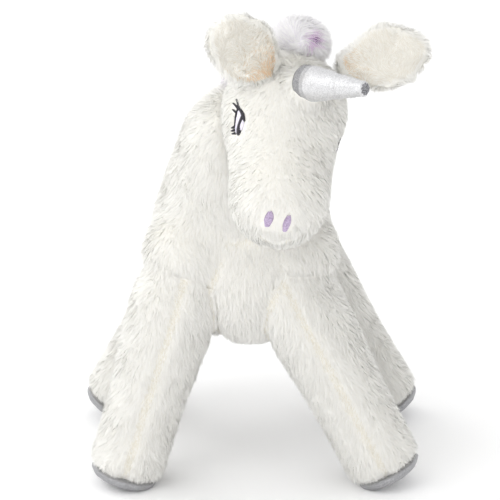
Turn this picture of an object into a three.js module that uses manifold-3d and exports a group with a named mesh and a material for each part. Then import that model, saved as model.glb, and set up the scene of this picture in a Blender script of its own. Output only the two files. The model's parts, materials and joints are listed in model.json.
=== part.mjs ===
// A plush unicorn standing on four splayed legs, millimetres, +Z up, nose towards -Y.
// The toy is a set of stuffed bags: every bag has a fibre core inside sewn fabric panels.
// The bags meet on faces that let them turn: legs cup the torso, the neck twists on a flat
// seam, and the head is a ball in the top of the neck.
import * as THREE from 'three';
import { mergeVertices } from 'three/addons/utils/BufferGeometryUtils.js';
import Module from 'manifold-3d';

const wasm = await Module();
wasm.setup();

// Driving dimensions.
const FABRIC = 1.5; // thickness of a sewn fabric panel
const GAP = 0.3; // clearance between touching pieces
const SEAM = 0.4; // clearance along a seam between two panels
const CUP_GAP = 1.6; // clearance between a round bag and the cup that turns on it

const BELLY_CENTRE_HEIGHT = 133;
const SHOULDER_RADIUS = 47;
const SHOULDER_Y = -24;
const RUMP_RADIUS = 45;
const RUMP_Y = 24;
const WAIST_DIP = 3.5;

const NECK_BASE = new THREE.Vector3(-7, -12, BELLY_CENTRE_HEIGHT + 5);
const NECK_TOP = new THREE.Vector3(1, -40, BELLY_CENTRE_HEIGHT + 119);
const NECK_SEAM_HEIGHT = 47; // along the neck, from its base to the flat seam
const NECK_BASE_WIDTH = 58; // half widths, across the toy
const NECK_TOP_WIDTH = 30;
const NECK_BASE_DEPTH = 47; // half depths, front to back
const NECK_TOP_DEPTH = 31;
const NECK_BASE_CAP = 14; // lengths of its round ends
const NECK_TOP_CAP = 18;
const NECK_TAPER = 1.3; // above 1, the neck stays wide near its base

const HEAD_CENTRE = new THREE.Vector3(21, -55, BELLY_CENTRE_HEIGHT + 113);
const HEAD_PITCH = 41.8; // degrees, nose down
const HEAD_ROLL = 24; // degrees, about the line from poll to nose
const HEAD_YAW = -4.6;
const CRANIUM_RADIUS = 36.5;
const MUZZLE_RADIUS = 28;
const MUZZLE_REACH = 61; // from the cranium's centre to the muzzle's
const HEAD_NOD_DOWN = 5; // degrees that the neck leaves room for
const BRIDGE_DIP = 1.5; // how far the bridge of the nose sinks between forehead and muzzle
const BRIDGE_END = 0.85; // share of the head's length up to the muzzle, where the dip ends

const LEG_ROOT_DROP = 11; // from the belly's centre down to the middle of a leg's root
const LEG_ROOT_RADIUS = 26;
const LEG_SHANK_RADIUS = 21.5;
const LEG_FOOT_RADIUS = 22;
const LEG_SWING = 20; // degrees each way
const SOLE_BULGE = 6;
const SOLE_RIM = 2.5; // height of the sole's straight edge
const SOLE_PRESS = 2.5; // how far the soft sole flattens against the floor
const LEGS = [
  { name: 'front_left', side: -1, end: -1, rootX: 46, rootY: -50, splay: 16.5, reach: 5 },
  { name: 'front_right', side: 1, end: -1, rootX: 29, rootY: -50, splay: 27.5, reach: 5 },
  { name: 'back_left', side: -1, end: 1, rootX: 29, rootY: 44, splay: 29, reach: 1 },
  { name: 'back_right', side: 1, end: 1, rootX: 29, rootY: 44, splay: 30, reach: 1 },
];

const CHEST_TOP_WIDTH = 13; // half widths of the six-sided chest panel
const CHEST_MIDDLE_WIDTH = 27;
const CHEST_BOTTOM_WIDTH = 17;
const CHEST_TOP = 31; // heights from the belly's centre
const CHEST_MIDDLE = -5;
const CHEST_BOTTOM = -52;
const CHEST_BACK = 21; // from the shoulder's centre to the chest panel's rear edge
const BELLY_TOP = -30; // heights of the belly panel's edges from the belly's centre
const BELLY_BOTTOM = -90;
const BELLY_BACK = 51; // where the belly panel ends, on the toy's length

const HORN_RADIUS = 10.9;
const HORN_TIP_RADIUS = 4.2;
const HORN_LENGTH = 42;
const HORN_BACK = -3; // along the head, from the cranium's centre
const HORN_RISE = 3.8; // of the middle of its base above the forehead
const HORN_LEAN_SIDE = 35; // degrees
const HORN_LEAN_NOSE = 26;
const HORN_KNOT_RADIUS = 1.3;
const HORN_BELLY = 0.9; // how far its sides swell
const HORN_ROOT = 5; // how deep its filling reaches below the forehead
const SLEEVE = 1.2;

const EAR_LENGTH = 47;
const EAR_WIDTH = 20; // half width
const EAR_THICKNESS = 3.6; // half thickness
const EAR_CUP = 0.012; // curl of its edges towards the front
const EAR_STANDOFF = 4.4; // from the head's surface to the ear's root
const EAR_ROOT_WIDTH = 0.45; // share of the full width
const LINING_WIDTH = 0.62; // shares of the ear's half width and length
const LINING_LENGTH = 0.36;
const LINING_MIDDLE = 0.52;
// Each ear's root on the cranium, its long direction and the way its lining faces, on the
// head's axes. The left ear has flopped back further than the right one.
const EARS = [
  { name: 'left_ear', root: [-0.56, 0.26, 0.78], along: [-0.93, 0.19, 0.3], facing: [0.12, -0.61, 0.78] },
  { name: 'right_ear', root: [0.62, 0.64, 0.45], along: [0.78, 0.16, 0.6], facing: [-0.46, -0.5, 0.73] },
];

const STITCHING = 1.2; // height of the raised embroidery
const EYE_LENGTH = 21;
const EYE_HEIGHT = 14;
const EYE_BACK = -19; // along the head, from the cranium's centre
const EYE_UP = 11;
const EYE_START = 8; // from the head's middle plane, where the eye's outline starts
const NOSTRIL_WIDTH = 4.6;
const NOSTRIL_HEIGHT = 9;
const NOSTRIL_SPREAD = 12; // degrees off the middle of the nose
const NOSTRIL_RISE = 34;
const NOSTRIL_DRIFT = 11; // degrees towards the toy's right side, as the muzzle is sewn

const FORELOCK = new THREE.Vector3(18, 14, 14); // radii
const FORELOCK_RISE = 29; // degrees from the poll towards the forehead
const FORELOCK_STAND = 7; // from the head's surface to the tuft's middle
const GUSSET_MARGIN = 4; // forehead gusset's width beside the horn
const CHIN_WIDTH = 10; // half width of the chin panel
const CHIN_DROP = 4; // from the head's middle to the chin panel's edge
const MANE_WIDTH = 9;
const MANE_DEPTH = 8;

const TAIL_BALL = 9;
const TAIL_RISE = 32; // degrees above the middle of the rump
const TAIL_LENGTH = 78;
const TAIL_RADIUS = 12;
const TAIL_SLANT = 23; // degrees away from the rump
const TAIL_BOW = 9;
const TAIL_CAPS = [10, 22]; // lengths of its round ends

const BODY_SIDES = 20;
const LEG_SIDES = 12;
const SMALL_SIDES = 12;
const FAR = 600; // larger than the toy, for half spaces

const rad = THREE.MathUtils.degToRad;
const X = new THREE.Vector3(1, 0, 0);
const Y = new THREE.Vector3(0, 1, 0);
const Z = new THREE.Vector3(0, 0, 1);

// Materials.
function cloth(color, roughness, metalness = 0) {
  return new THREE.MeshStandardMaterial({ color, roughness, metalness });
}
const plush = cloth(0xf6f4ec, 1);
const fibre = cloth(0xffffff, 1);
const lining = cloth(0xead9c0, 0.95);
const silver = cloth(0xd9d9de, 0.35, 0.6);
const soleCloth = cloth(0xa9a9b0, 0.5, 0.4);
const thread = cloth(0x17151a, 0.6);
const lilac = cloth(0xc8b6dc, 0.8);

// Solids.
function solid(geometry) {
  const bare = geometry.index ? geometry.toNonIndexed() : geometry.clone();
  for (const name of Object.keys(bare.attributes)) {
    if (name !== 'position') {
      bare.deleteAttribute(name);
    }
  }
  const merged = mergeVertices(bare, 1e-4);
  const vertProperties = new Float32Array(merged.attributes.position.array);
  const triVerts = new Uint32Array(merged.index.array);
  return new wasm.Manifold(new wasm.Mesh({ numProp: 3, vertProperties, triVerts }));
}

function piece(name, body, material) {
  const data = body.getMesh();
  const geometry = new THREE.BufferGeometry();
  geometry.setAttribute('position', new THREE.BufferAttribute(new Float32Array(data.vertProperties), 3));
  geometry.setIndex(new THREE.BufferAttribute(new Uint32Array(data.triVerts), 1));
  geometry.computeVertexNormals();
  const mesh = new THREE.Mesh(geometry, material);
  mesh.name = name;
  return mesh;
}

function placed(geometry, origin, across, along) {
  const up = along.clone().normalize();
  const side = across.clone().addScaledVector(up, -across.dot(up)).normalize();
  const depth = new THREE.Vector3().crossVectors(up, side);
  const matrix = new THREE.Matrix4().makeBasis(side, depth, up).setPosition(origin);
  return geometry.applyMatrix4(matrix);
}

// The side of a plane that its normal points away from.
function halfSpace(point, normal) {
  const box = new THREE.BoxGeometry(FAR, FAR, FAR).translate(0, 0, -FAR / 2);
  const across = Math.abs(normal.x) > 0.9 ? Y : X;
  return solid(placed(box, point, across, normal));
}

function ball(centre, radius, sides = BODY_SIDES) {
  return solid(new THREE.SphereGeometry(radius, sides, sides / 2).translate(...centre));
}

function turned(body, centre, axis, degrees) {
  const away = new THREE.Matrix4().makeTranslation(-centre.x, -centre.y, -centre.z);
  const turn = new THREE.Matrix4().makeRotationAxis(axis.clone().normalize(), rad(degrees));
  const back = new THREE.Matrix4().makeTranslation(centre.x, centre.y, centre.z);
  return body.transform(back.multiply(turn).multiply(away).elements);
}

// A closed bag along +Z. Each ring is [height, half width, half depth, offset x, offset y].
function loft(rings, sides) {
  const points = [];
  const faces = [];
  for (const [height, width, depth, offsetX = 0, offsetY = 0] of rings) {
    for (let i = 0; i < sides; i += 1) {
      const angle = (2 * Math.PI * i) / sides;
      points.push(offsetX + width * Math.cos(angle), offsetY + depth * Math.sin(angle), height);
    }
  }
  const last = rings.length - 1;
  for (let ring = 0; ring < last; ring += 1) {
    for (let i = 0; i < sides; i += 1) {
      const a = ring * sides + i;
      const b = ring * sides + ((i + 1) % sides);
      faces.push(a, b, b + sides, a, b + sides, a + sides);
    }
  }
  for (const [ring, flip] of [[0, true], [last, false]]) {
    const [height, , , offsetX = 0, offsetY = 0] = rings[ring];
    const centre = points.length / 3;
    points.push(offsetX, offsetY, height);
    for (let i = 0; i < sides; i += 1) {
      const a = ring * sides + i;
      const b = ring * sides + ((i + 1) % sides);
      faces.push(...(flip ? [centre, b, a] : [centre, a, b]));
    }
  }
  const geometry = new THREE.BufferGeometry();
  geometry.setAttribute('position', new THREE.Float32BufferAttribute(points, 3));
  geometry.setIndex(faces);
  return geometry;
}

// Rings for a bag with round ends: the sizes come from size(share of length) and shrink to a
// dome over the given cap lengths.
function domed(length, capStart, capEnd, count, size, inset) {
  const rings = [];
  for (let i = 0; i <= count; i += 1) {
    const share = (1 - Math.cos((Math.PI * (i + 0.35)) / (count + 0.7))) / 2;
    const height = inset + (length - 2 * inset) * share;
    const start = Math.max(0, (capStart - height) / (capStart - inset));
    const end = Math.max(0, (height - length + capEnd) / (capEnd - inset));
    const dome = Math.sqrt(Math.max(0, 1 - start * start - end * end));
    const [width, depth, offsetX, offsetY] = size(height / length);
    rings.push([height, (width - inset) * dome, (depth - inset) * dome, offsetX, offsetY]);
  }
  return rings;
}

const mix = THREE.MathUtils.lerp;

// Torso: a barrel between two round ends, about a line along Y.
const shoulder = new THREE.Vector3(0, SHOULDER_Y, BELLY_CENTRE_HEIGHT);
const rump = new THREE.Vector3(0, RUMP_Y, BELLY_CENTRE_HEIGHT);

function barrel(inset) {
  const steps = 6;
  const profile = [];
  for (let i = 0; i <= steps; i += 1) {
    const angle = (Math.PI / 2) * (i / steps);
    const radius = SHOULDER_RADIUS - inset;
    profile.push(new THREE.Vector2(radius * Math.sin(angle), SHOULDER_Y - radius * Math.cos(angle)));
  }
  for (let i = 1; i < steps; i += 1) {
    const share = i / steps;
    const radius = mix(SHOULDER_RADIUS, RUMP_RADIUS, share) - WAIST_DIP * Math.sin(Math.PI * share) ** 2;
    profile.push(new THREE.Vector2(radius - inset, mix(SHOULDER_Y, RUMP_Y, share)));
  }
  for (let i = 0; i <= steps; i += 1) {
    const angle = (Math.PI / 2) * (1 - i / steps);
    const radius = RUMP_RADIUS - inset;
    profile.push(new THREE.Vector2(radius * Math.sin(angle), RUMP_Y + radius * Math.cos(angle)));
  }
  profile[0].x = 0;
  profile[profile.length - 1].x = 0;
  const lathe = new THREE.LatheGeometry(profile, BODY_SIDES);
  return solid(lathe.translate(0, 0, BELLY_CENTRE_HEIGHT));
}

// Neck: a tapered bag that starts inside the torso and ends inside the head.
const neckAxis = NECK_TOP.clone().sub(NECK_BASE);
const neckLength = neckAxis.length();
neckAxis.normalize();
const neckSeam = NECK_BASE.clone().addScaledVector(neckAxis, NECK_SEAM_HEIGHT);

function neckBag(inset) {
  const size = (share) => [
    mix(NECK_BASE_WIDTH, NECK_TOP_WIDTH, Math.max(0, share) ** NECK_TAPER),
    mix(NECK_BASE_DEPTH, NECK_TOP_DEPTH, share),
    0,
    0,
  ];
  const rings = domed(neckLength, NECK_BASE_CAP, NECK_TOP_CAP, 8, size, inset);
  return solid(placed(loft(rings, BODY_SIDES), NECK_BASE, X, neckAxis));
}

// Head: a round cranium that runs into a narrower muzzle, in the head's own frame, where the
// nose points to -Y and the forehead faces +Z.
const headLength = CRANIUM_RADIUS + MUZZLE_REACH + MUZZLE_RADIUS;
const headTurn = new THREE.Euler(rad(HEAD_PITCH), rad(HEAD_ROLL), rad(HEAD_YAW), 'ZXY');
const headMatrix = new THREE.Matrix4().makeRotationFromEuler(headTurn).setPosition(HEAD_CENTRE);
const headAcross = X.clone().applyEuler(headTurn);
const ORIGIN = new THREE.Vector3();

function headBag(inset, sides = BODY_SIDES) {
  const wide = CRANIUM_RADIUS / headLength;
  const narrow = (CRANIUM_RADIUS + MUZZLE_REACH) / headLength;
  const size = (share) => {
    const t = THREE.MathUtils.smoothstep(share, wide, narrow * BRIDGE_END);
    const radius = mix(CRANIUM_RADIUS, MUZZLE_RADIUS, t);
    return [radius, radius - BRIDGE_DIP * Math.sin(Math.PI * t), 0, 0];
  };
  const rings = domed(headLength, CRANIUM_RADIUS, MUZZLE_RADIUS, 11, size, inset);
  const start = new THREE.Vector3(0, CRANIUM_RADIUS, 0);
  return solid(placed(loft(rings, sides), start, X, Y.clone().negate()));
}

const headInWorld = headBag(-CUP_GAP, SMALL_SIDES).transform(headMatrix.elements);
const headPath = ball(HEAD_CENTRE, CRANIUM_RADIUS + CUP_GAP)
  .add(headInWorld)
  .add(turned(headInWorld, HEAD_CENTRE, headAcross, HEAD_NOD_DOWN));

const belowNeck = halfSpace(neckSeam.clone().addScaledVector(neckAxis, -GAP / 2), neckAxis);
const aboveNeck = halfSpace(neckSeam.clone().addScaledVector(neckAxis, GAP / 2), neckAxis.clone().negate());

function torsoBag(inset) {
  return barrel(inset).add(neckBag(inset));
}

// Tail place, on the rump.
const tailOut = new THREE.Vector3(0, Math.cos(rad(TAIL_RISE)), Math.sin(rad(TAIL_RISE)));
const tailHinge = rump.clone().addScaledVector(tailOut, RUMP_RADIUS);
const tailSocket = ball(tailHinge, TAIL_BALL + CUP_GAP, SMALL_SIDES);

const unicorn = new THREE.Group();

function torso() {
  const skin = torsoBag(0).subtract(torsoBag(FABRIC)).subtract(tailSocket).intersect(belowNeck);
  const chestOutline = (grow) => {
    const half = [
      [CHEST_TOP_WIDTH + grow, CHEST_TOP + grow],
      [CHEST_MIDDLE_WIDTH + grow, CHEST_MIDDLE],
      [CHEST_BOTTOM_WIDTH + grow, CHEST_BOTTOM],
    ];
    const mirrored = half.map(([x, z]) => [-x, z]).reverse();
    return new THREE.Shape([...half, ...mirrored].map(([x, z]) => new THREE.Vector2(x, z)));
  };
  const chestPrism = (grow) => {
    const block = new THREE.ExtrudeGeometry(chestOutline(grow), { depth: FAR, bevelEnabled: false });
    const start = new THREE.Vector3(0, SHOULDER_Y - CHEST_BACK + grow, BELLY_CENTRE_HEIGHT);
    return solid(block.rotateX(Math.PI / 2).translate(...start));
  };
  const bellyBlock = (grow) => {
    const front = SHOULDER_Y - SHOULDER_RADIUS - grow;
    const width = 2 * (CHEST_BOTTOM_WIDTH + grow);
    const tall = BELLY_TOP - BELLY_BOTTOM + grow;
    const block = new THREE.BoxGeometry(width, BELLY_BACK + grow - front, tall);
    const height = BELLY_CENTRE_HEIGHT + BELLY_BOTTOM + tall / 2;
    return solid(block.translate(0, (BELLY_BACK + grow + front) / 2, height));
  };
  const gusset = chestPrism(SEAM).add(bellyBlock(SEAM));
  const chest = skin.intersect(chestPrism(0));
  const under = skin.intersect(bellyBlock(0)).subtract(chestPrism(SEAM));
  const sides = skin.subtract(gusset);
  const left = sides.intersect(halfSpace(new THREE.Vector3(-SEAM / 2, 0, 0), X));
  const right = sides.intersect(halfSpace(new THREE.Vector3(SEAM / 2, 0, 0), X.clone().negate()));
  const core = torsoBag(FABRIC + GAP).subtract(tailSocket).intersect(belowNeck);
  return [
    piece('torso_stuffing', core, fibre),
    piece('left_side_panel', left, plush),
    piece('right_side_panel', right, plush),
    piece('chest_panel', chest, plush),
    piece('belly_panel', under, plush),
  ];
}

function neck() {
  const trim = (body) => body.intersect(aboveNeck).subtract(headPath);
  const skin = trim(neckBag(0).subtract(neckBag(FABRIC)));
  const middle = (side) => neckSeam.clone().addScaledVector(X, (side * SEAM) / 2);
  const across = X.clone().addScaledVector(neckAxis, -neckAxis.x).normalize();
  const left = skin.intersect(halfSpace(middle(-1), across));
  const right = skin.intersect(halfSpace(middle(1), across.clone().negate()));
  const strip = new THREE.BoxGeometry(2 * MANE_WIDTH, FAR, FAR).translate(0, FAR / 2, FAR / 2 + GAP);
  const back = solid(placed(strip, neckSeam, X, neckAxis));
  const mane = trim(back.intersect(neckBag(-MANE_DEPTH).subtract(neckBag(-GAP))));
  return [
    piece('neck_stuffing', trim(neckBag(FABRIC + GAP)), fibre),
    piece('neck_left_panel', left, plush),
    piece('neck_right_panel', right, plush),
    piece('mane', mane, plush),
  ];
}

// Horn: a stuffed cone on a round root that sits in a pocket of the forehead.
const hornBase = new THREE.Vector3(0, HORN_BACK, CRANIUM_RADIUS + HORN_RISE);
const hornAlong = new THREE.Vector3(
  Math.tan(rad(HORN_LEAN_SIDE)),
  -Math.tan(rad(HORN_LEAN_NOSE)),
  1,
).normalize();
const hornPocket = ball(hornBase, HORN_RADIUS + CUP_GAP, SMALL_SIDES);

function horn() {
  const cone = (inset, from) => {
    const rings = [[from, HORN_RADIUS - inset, HORN_RADIUS - inset]];
    for (const share of [0.15, 0.4, 0.62, 0.8, 0.95]) {
      const swell = HORN_BELLY * Math.sin(Math.PI * Math.min(1, share * 2));
      const radius = mix(HORN_RADIUS, HORN_TIP_RADIUS, share ** 1.1) + swell - inset;
      rings.push([share * HORN_LENGTH, radius, radius]);
    }
    rings.push([HORN_LENGTH - inset, HORN_TIP_RADIUS - 1 - inset, HORN_TIP_RADIUS - 1 - inset]);
    return solid(placed(loft(rings, SMALL_SIDES), hornBase, X, hornAlong));
  };
  const sleeve = cone(0, GAP).subtract(cone(SLEEVE, -HORN_ROOT));
  const below = halfSpace(hornBase, hornAlong);
  const root = ball(hornBase, HORN_RADIUS, SMALL_SIDES).intersect(below);
  const filling = cone(SLEEVE + GAP, -1).add(root);
  const tip = hornBase.clone().addScaledVector(hornAlong, HORN_LENGTH + GAP + HORN_KNOT_RADIUS);
  const knot = new THREE.TorusGeometry(HORN_TIP_RADIUS - HORN_KNOT_RADIUS, HORN_KNOT_RADIUS, 6, 12);
  return [
    piece('horn_sleeve', sleeve, silver),
    piece('horn_filling', filling, fibre),
    piece('horn_tip_knot', solid(placed(knot, tip, X, hornAlong)), thread),
  ];
}

// Ears: a flat leaf-shaped bag with a lining on the side that faces forward.
function ear({ name, root, along, facing }) {
  const up = new THREE.Vector3(...along).normalize();
  const across = new THREE.Vector3(...facing).cross(up).normalize();
  const hinge = new THREE.Vector3(...root).setLength(CRANIUM_RADIUS + EAR_STANDOFF);
  const leaf = (grow) => {
    const rings = [];
    for (const share of [0, 0.04, 0.12, 0.25, 0.42, 0.6, 0.75, 0.87, 0.95, 0.99]) {
      const outline = mix(EAR_ROOT_WIDTH, 1, THREE.MathUtils.smoothstep(share, -0.1, 0.55));
      const tip = Math.sqrt(1 - Math.max(0, (share - 0.5) / 0.5) ** 2.4);
      const base = Math.sqrt(Math.max(0.02, Math.min(1, share / 0.07)));
      const width = EAR_WIDTH * outline * tip + grow;
      const thick = EAR_THICKNESS * Math.min(base, Math.sqrt(tip)) + grow;
      rings.push([share * EAR_LENGTH + (share > 0.5 ? grow : -grow) * 0.5, width, thick]);
    }
    const geometry = loft(rings, SMALL_SIDES);
    const points = geometry.attributes.position;
    for (let i = 0; i < points.count; i += 1) {
      points.setY(i, points.getY(i) + EAR_CUP * points.getX(i) ** 2);
    }
    return solid(placed(geometry, hinge, across, up));
  };
  const oval = new THREE.CylinderGeometry(1, 1, EAR_LENGTH, 16);
  oval.scale(EAR_WIDTH * LINING_WIDTH, 1, EAR_LENGTH * LINING_LENGTH);
  oval.translate(0, EAR_LENGTH / 2, EAR_LENGTH * LINING_MIDDLE);
  const window = solid(placed(oval, hinge, across, up));
  const inside = leaf(STITCHING).subtract(leaf(GAP)).intersect(window);
  return [
    piece(`${name}_outer`, leaf(0), plush),
    piece(`${name}_lining`, inside, lining),
  ];
}

// Raised embroidery: an outline pushed through a thin layer on the head's surface.
function stitched(outline, origin, across, along) {
  const settings = { depth: headLength, bevelEnabled: false, curveSegments: 6 };
  const block = new THREE.ExtrudeGeometry(outline, settings);
  const layer = headBag(-STITCHING - GAP).subtract(headBag(-GAP));
  return layer.intersect(solid(placed(block, origin, across, along)));
}

function oval(width, height) {
  return new THREE.Shape().absellipse(0, 0, width / 2, height / 2, 0, 2 * Math.PI, false, 0);
}

function eye(name, side) {
  const start = new THREE.Vector3(side * EYE_START, EYE_BACK, EYE_UP);
  const out = new THREE.Vector3(side, 0, 0);
  return piece(name, stitched(oval(EYE_LENGTH, EYE_HEIGHT), start, Y, out), thread);
}

function nostril(name, side) {
  const centre = new THREE.Vector3(0, -MUZZLE_REACH, 0);
  const rise = rad(NOSTRIL_RISE);
  const aside = Math.sin(rad(side * NOSTRIL_SPREAD - NOSTRIL_DRIFT));
  const out = new THREE.Vector3(aside, -Math.cos(rise), Math.sin(rise));
  return piece(name, stitched(oval(NOSTRIL_WIDTH, NOSTRIL_HEIGHT), centre, X, out), lilac);
}

function forelock() {
  const rise = rad(FORELOCK_RISE);
  const reach = CRANIUM_RADIUS + FORELOCK_STAND;
  const centre = new THREE.Vector3(0, Math.cos(rise) * reach, Math.sin(rise) * reach);
  const puff = new THREE.SphereGeometry(1, 14, 9).scale(...FORELOCK).translate(...centre);
  return piece('forelock', solid(puff).subtract(headBag(-GAP)), lilac);
}

function head() {
  const skin = headBag(0).subtract(headBag(FABRIC)).subtract(hornPocket);
  const strip = (width, way, edge) => {
    const block = new THREE.BoxGeometry(2 * width, 2 * headLength, headLength);
    return solid(block.translate(0, 0, way * (headLength / 2 + edge)));
  };
  const crown = (grow) => strip(HORN_RADIUS + GUSSET_MARGIN + grow, 1, -grow);
  const chin = (grow) => strip(CHIN_WIDTH + grow, -1, CHIN_DROP - grow);
  const cheeks = skin.subtract(crown(SEAM)).subtract(chin(SEAM));
  const group = new THREE.Group();
  group.position.copy(HEAD_CENTRE);
  group.rotation.copy(headTurn);
  group.add(
    piece('head_stuffing', headBag(FABRIC + GAP).subtract(hornPocket), fibre),
    piece('forehead_gusset', skin.intersect(crown(0)), plush),
    piece('chin_panel', skin.intersect(chin(0)), plush),
    piece('left_cheek_panel', cheeks.intersect(halfSpace(ORIGIN, X)), plush),
    piece('right_cheek_panel', cheeks.intersect(halfSpace(ORIGIN, X.clone().negate())), plush),
    eye('left_eye', -1),
    eye('right_eye', 1),
    nostril('left_nostril', -1),
    nostril('right_nostril', 1),
    forelock(),
    ...horn(),
    ...EARS.flatMap(ear),
  );
  return group;
}

// Legs: tubes that hang from the torso's round ends, cupped so that they swing about a line
// across the toy through the end's centre.
const floor = halfSpace(ORIGIN, Z.clone().negate());
const legRootHeight = BELLY_CENTRE_HEIGHT - LEG_ROOT_DROP;

function leg({ name, side, end, rootX, rootY, splay, reach }) {
  const root = new THREE.Vector3(side * rootX, rootY, legRootHeight);
  const along = new THREE.Vector3(side * Math.tan(rad(splay)), end * Math.tan(rad(reach)), -1).normalize();
  const lean = Math.acos(-along.z);
  const drop = Math.hypot(LEG_FOOT_RADIUS * Math.sin(lean), (SOLE_BULGE + SOLE_RIM) * Math.cos(lean));
  const length = (legRootHeight - drop + SOLE_PRESS) / Math.cos(lean);
  const centre = end < 0 ? shoulder : rump;
  const tube = (inset, from, to) => {
    const rings = [];
    const count = 5;
    for (let i = 0; i <= count; i += 1) {
      const height = mix(from, to, i / count);
      const share = Math.max(0, height / length);
      const upper = mix(LEG_ROOT_RADIUS, LEG_SHANK_RADIUS, THREE.MathUtils.smoothstep(share, 0, 0.7));
      const radius = upper + (LEG_FOOT_RADIUS - LEG_SHANK_RADIUS) * THREE.MathUtils.smoothstep(share, 0.7, 1);
      rings.push([height, radius - inset, radius - inset]);
    }
    const crown = LEG_ROOT_RADIUS - inset;
    for (const share of [0.35, 0.7, 0.92]) {
      const radius = crown * Math.sqrt(1 - share * share);
      rings.unshift([from - crown * share, radius, radius]);
    }
    return solid(placed(loft(rings, LEG_SIDES), root, X, along));
  };
  const withers = neckBag(-CUP_GAP);
  const path = ball(centre, (end < 0 ? SHOULDER_RADIUS : RUMP_RADIUS) + CUP_GAP)
    .add(withers)
    .add(turned(withers, centre, X, -end * LEG_SWING));
  const trim = (body) => body.subtract(path).intersect(floor);
  const skin = trim(tube(0, 0, length).subtract(tube(FABRIC, 0, length + FABRIC)));
  const middle = (way) => root.clone().addScaledVector(X, (way * SEAM) / 2);
  const flat = X.clone().addScaledVector(along, -along.x).normalize();
  const low = skin.intersect(halfSpace(middle(-1), flat));
  const high = skin.intersect(halfSpace(middle(1), flat.clone().negate()));
  const radius = LEG_FOOT_RADIUS;
  const cap = [[GAP, radius, radius], [SOLE_RIM, radius, radius]];
  for (const share of [0.4, 0.75, 0.95]) {
    const shrunk = radius * Math.sqrt(1 - share * share);
    cap.push([SOLE_RIM + SOLE_BULGE * share, shrunk, shrunk]);
  }
  const foot = root.clone().addScaledVector(along, length);
  const sole = solid(placed(loft(cap, LEG_SIDES), foot, X, along)).intersect(floor);
  return [
    piece(`${name}_leg_stuffing`, trim(tube(FABRIC + GAP, 0, length)), fibre),
    piece(`${name}_leg_outer_panel`, side < 0 ? low : high, plush),
    piece(`${name}_leg_inner_panel`, side < 0 ? high : low, plush),
    piece(`${name}_sole`, sole, soleCloth),
  ];
}

// Tail: a soft tuft that hangs from a round root in the rump.
function tail() {
  const along = new THREE.Vector3(0, Math.sin(rad(TAIL_SLANT)), -Math.cos(rad(TAIL_SLANT)));
  const size = (share) => [
    TAIL_RADIUS * (0.55 + 0.45 * Math.sin(Math.PI * share)),
    TAIL_RADIUS * (0.5 + 0.4 * Math.sin(Math.PI * share)),
    0,
    -TAIL_BOW * Math.sin(Math.PI * share * 0.6),
  ];
  const start = tailHinge.clone().addScaledVector(tailOut, TAIL_BALL);
  const rings = domed(TAIL_LENGTH, ...TAIL_CAPS, 7, size, 0);
  const tuft = solid(placed(loft(rings, SMALL_SIDES), start, X, along));
  const root = ball(tailHinge, TAIL_BALL, SMALL_SIDES);
  return [
    piece('tail_root', root, plush),
    piece('tail_tuft', tuft.subtract(tailSocket), lilac),
  ];
}

unicorn.add(...torso(), ...neck(), head(), ...LEGS.flatMap(leg), ...tail());

// The origin is on the floor, under the middle of the toy's box.
unicorn.updateMatrixWorld(true);
const box = new THREE.Box3().setFromObject(unicorn, true);
const middle = box.getCenter(new THREE.Vector3());
unicorn.position.set(-middle.x, -middle.y, -box.min.z);

export default unicorn;
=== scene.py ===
# Looks of a plush unicorn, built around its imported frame. Metres, +Z up, nose towards -Y.
# Every bag gets a puffed skin made from its CAD core, and every skin gets a pile of real strands.
import json
import math

import bmesh
import bpy
import numpy as np
from mathutils import Matrix, Vector
from mathutils.bvhtree import BVHTree
from mathutils.kdtree import KDTree


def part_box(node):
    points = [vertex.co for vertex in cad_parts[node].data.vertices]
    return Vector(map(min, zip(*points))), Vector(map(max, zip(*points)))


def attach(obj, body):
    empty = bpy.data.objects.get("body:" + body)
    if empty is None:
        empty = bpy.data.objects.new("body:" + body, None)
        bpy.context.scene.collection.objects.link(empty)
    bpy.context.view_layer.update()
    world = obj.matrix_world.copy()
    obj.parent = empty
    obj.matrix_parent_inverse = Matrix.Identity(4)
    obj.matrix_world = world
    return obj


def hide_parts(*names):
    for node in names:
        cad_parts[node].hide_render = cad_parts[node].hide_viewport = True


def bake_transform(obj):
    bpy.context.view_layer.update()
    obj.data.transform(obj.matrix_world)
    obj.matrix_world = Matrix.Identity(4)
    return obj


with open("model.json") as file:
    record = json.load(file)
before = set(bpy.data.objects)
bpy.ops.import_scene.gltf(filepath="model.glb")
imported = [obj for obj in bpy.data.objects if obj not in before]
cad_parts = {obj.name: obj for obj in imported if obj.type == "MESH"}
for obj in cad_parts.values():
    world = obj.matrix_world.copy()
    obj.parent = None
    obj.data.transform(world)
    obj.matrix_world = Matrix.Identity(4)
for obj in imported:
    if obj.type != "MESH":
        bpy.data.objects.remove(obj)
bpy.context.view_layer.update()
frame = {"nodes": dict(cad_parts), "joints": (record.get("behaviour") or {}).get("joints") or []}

MM = 0.001
SEED = 7

# Skins.
VOXEL = 4 * MM
PUFF = 2.4 * MM  # from a remeshed core out to the face of its fabric
SEAM_DEPTH = 2.4 * MM
SEAM_WIDTH = 3.2 * MM
PRESSURE = 4.0
PUFF_LIMIT = 3.2 * MM
PUFF_FRAMES = 20
LEG_EDGE = 0.6 * MM  # where a leg's skin rises this far off the torso, the leg begins
FILL_ROUNDS = 60
FILL_STEP = 0.6
CROTCH_HEIGHT = 98 * MM  # creases stay sharp below it
SHOULDER_HEIGHT = 118 * MM

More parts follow.
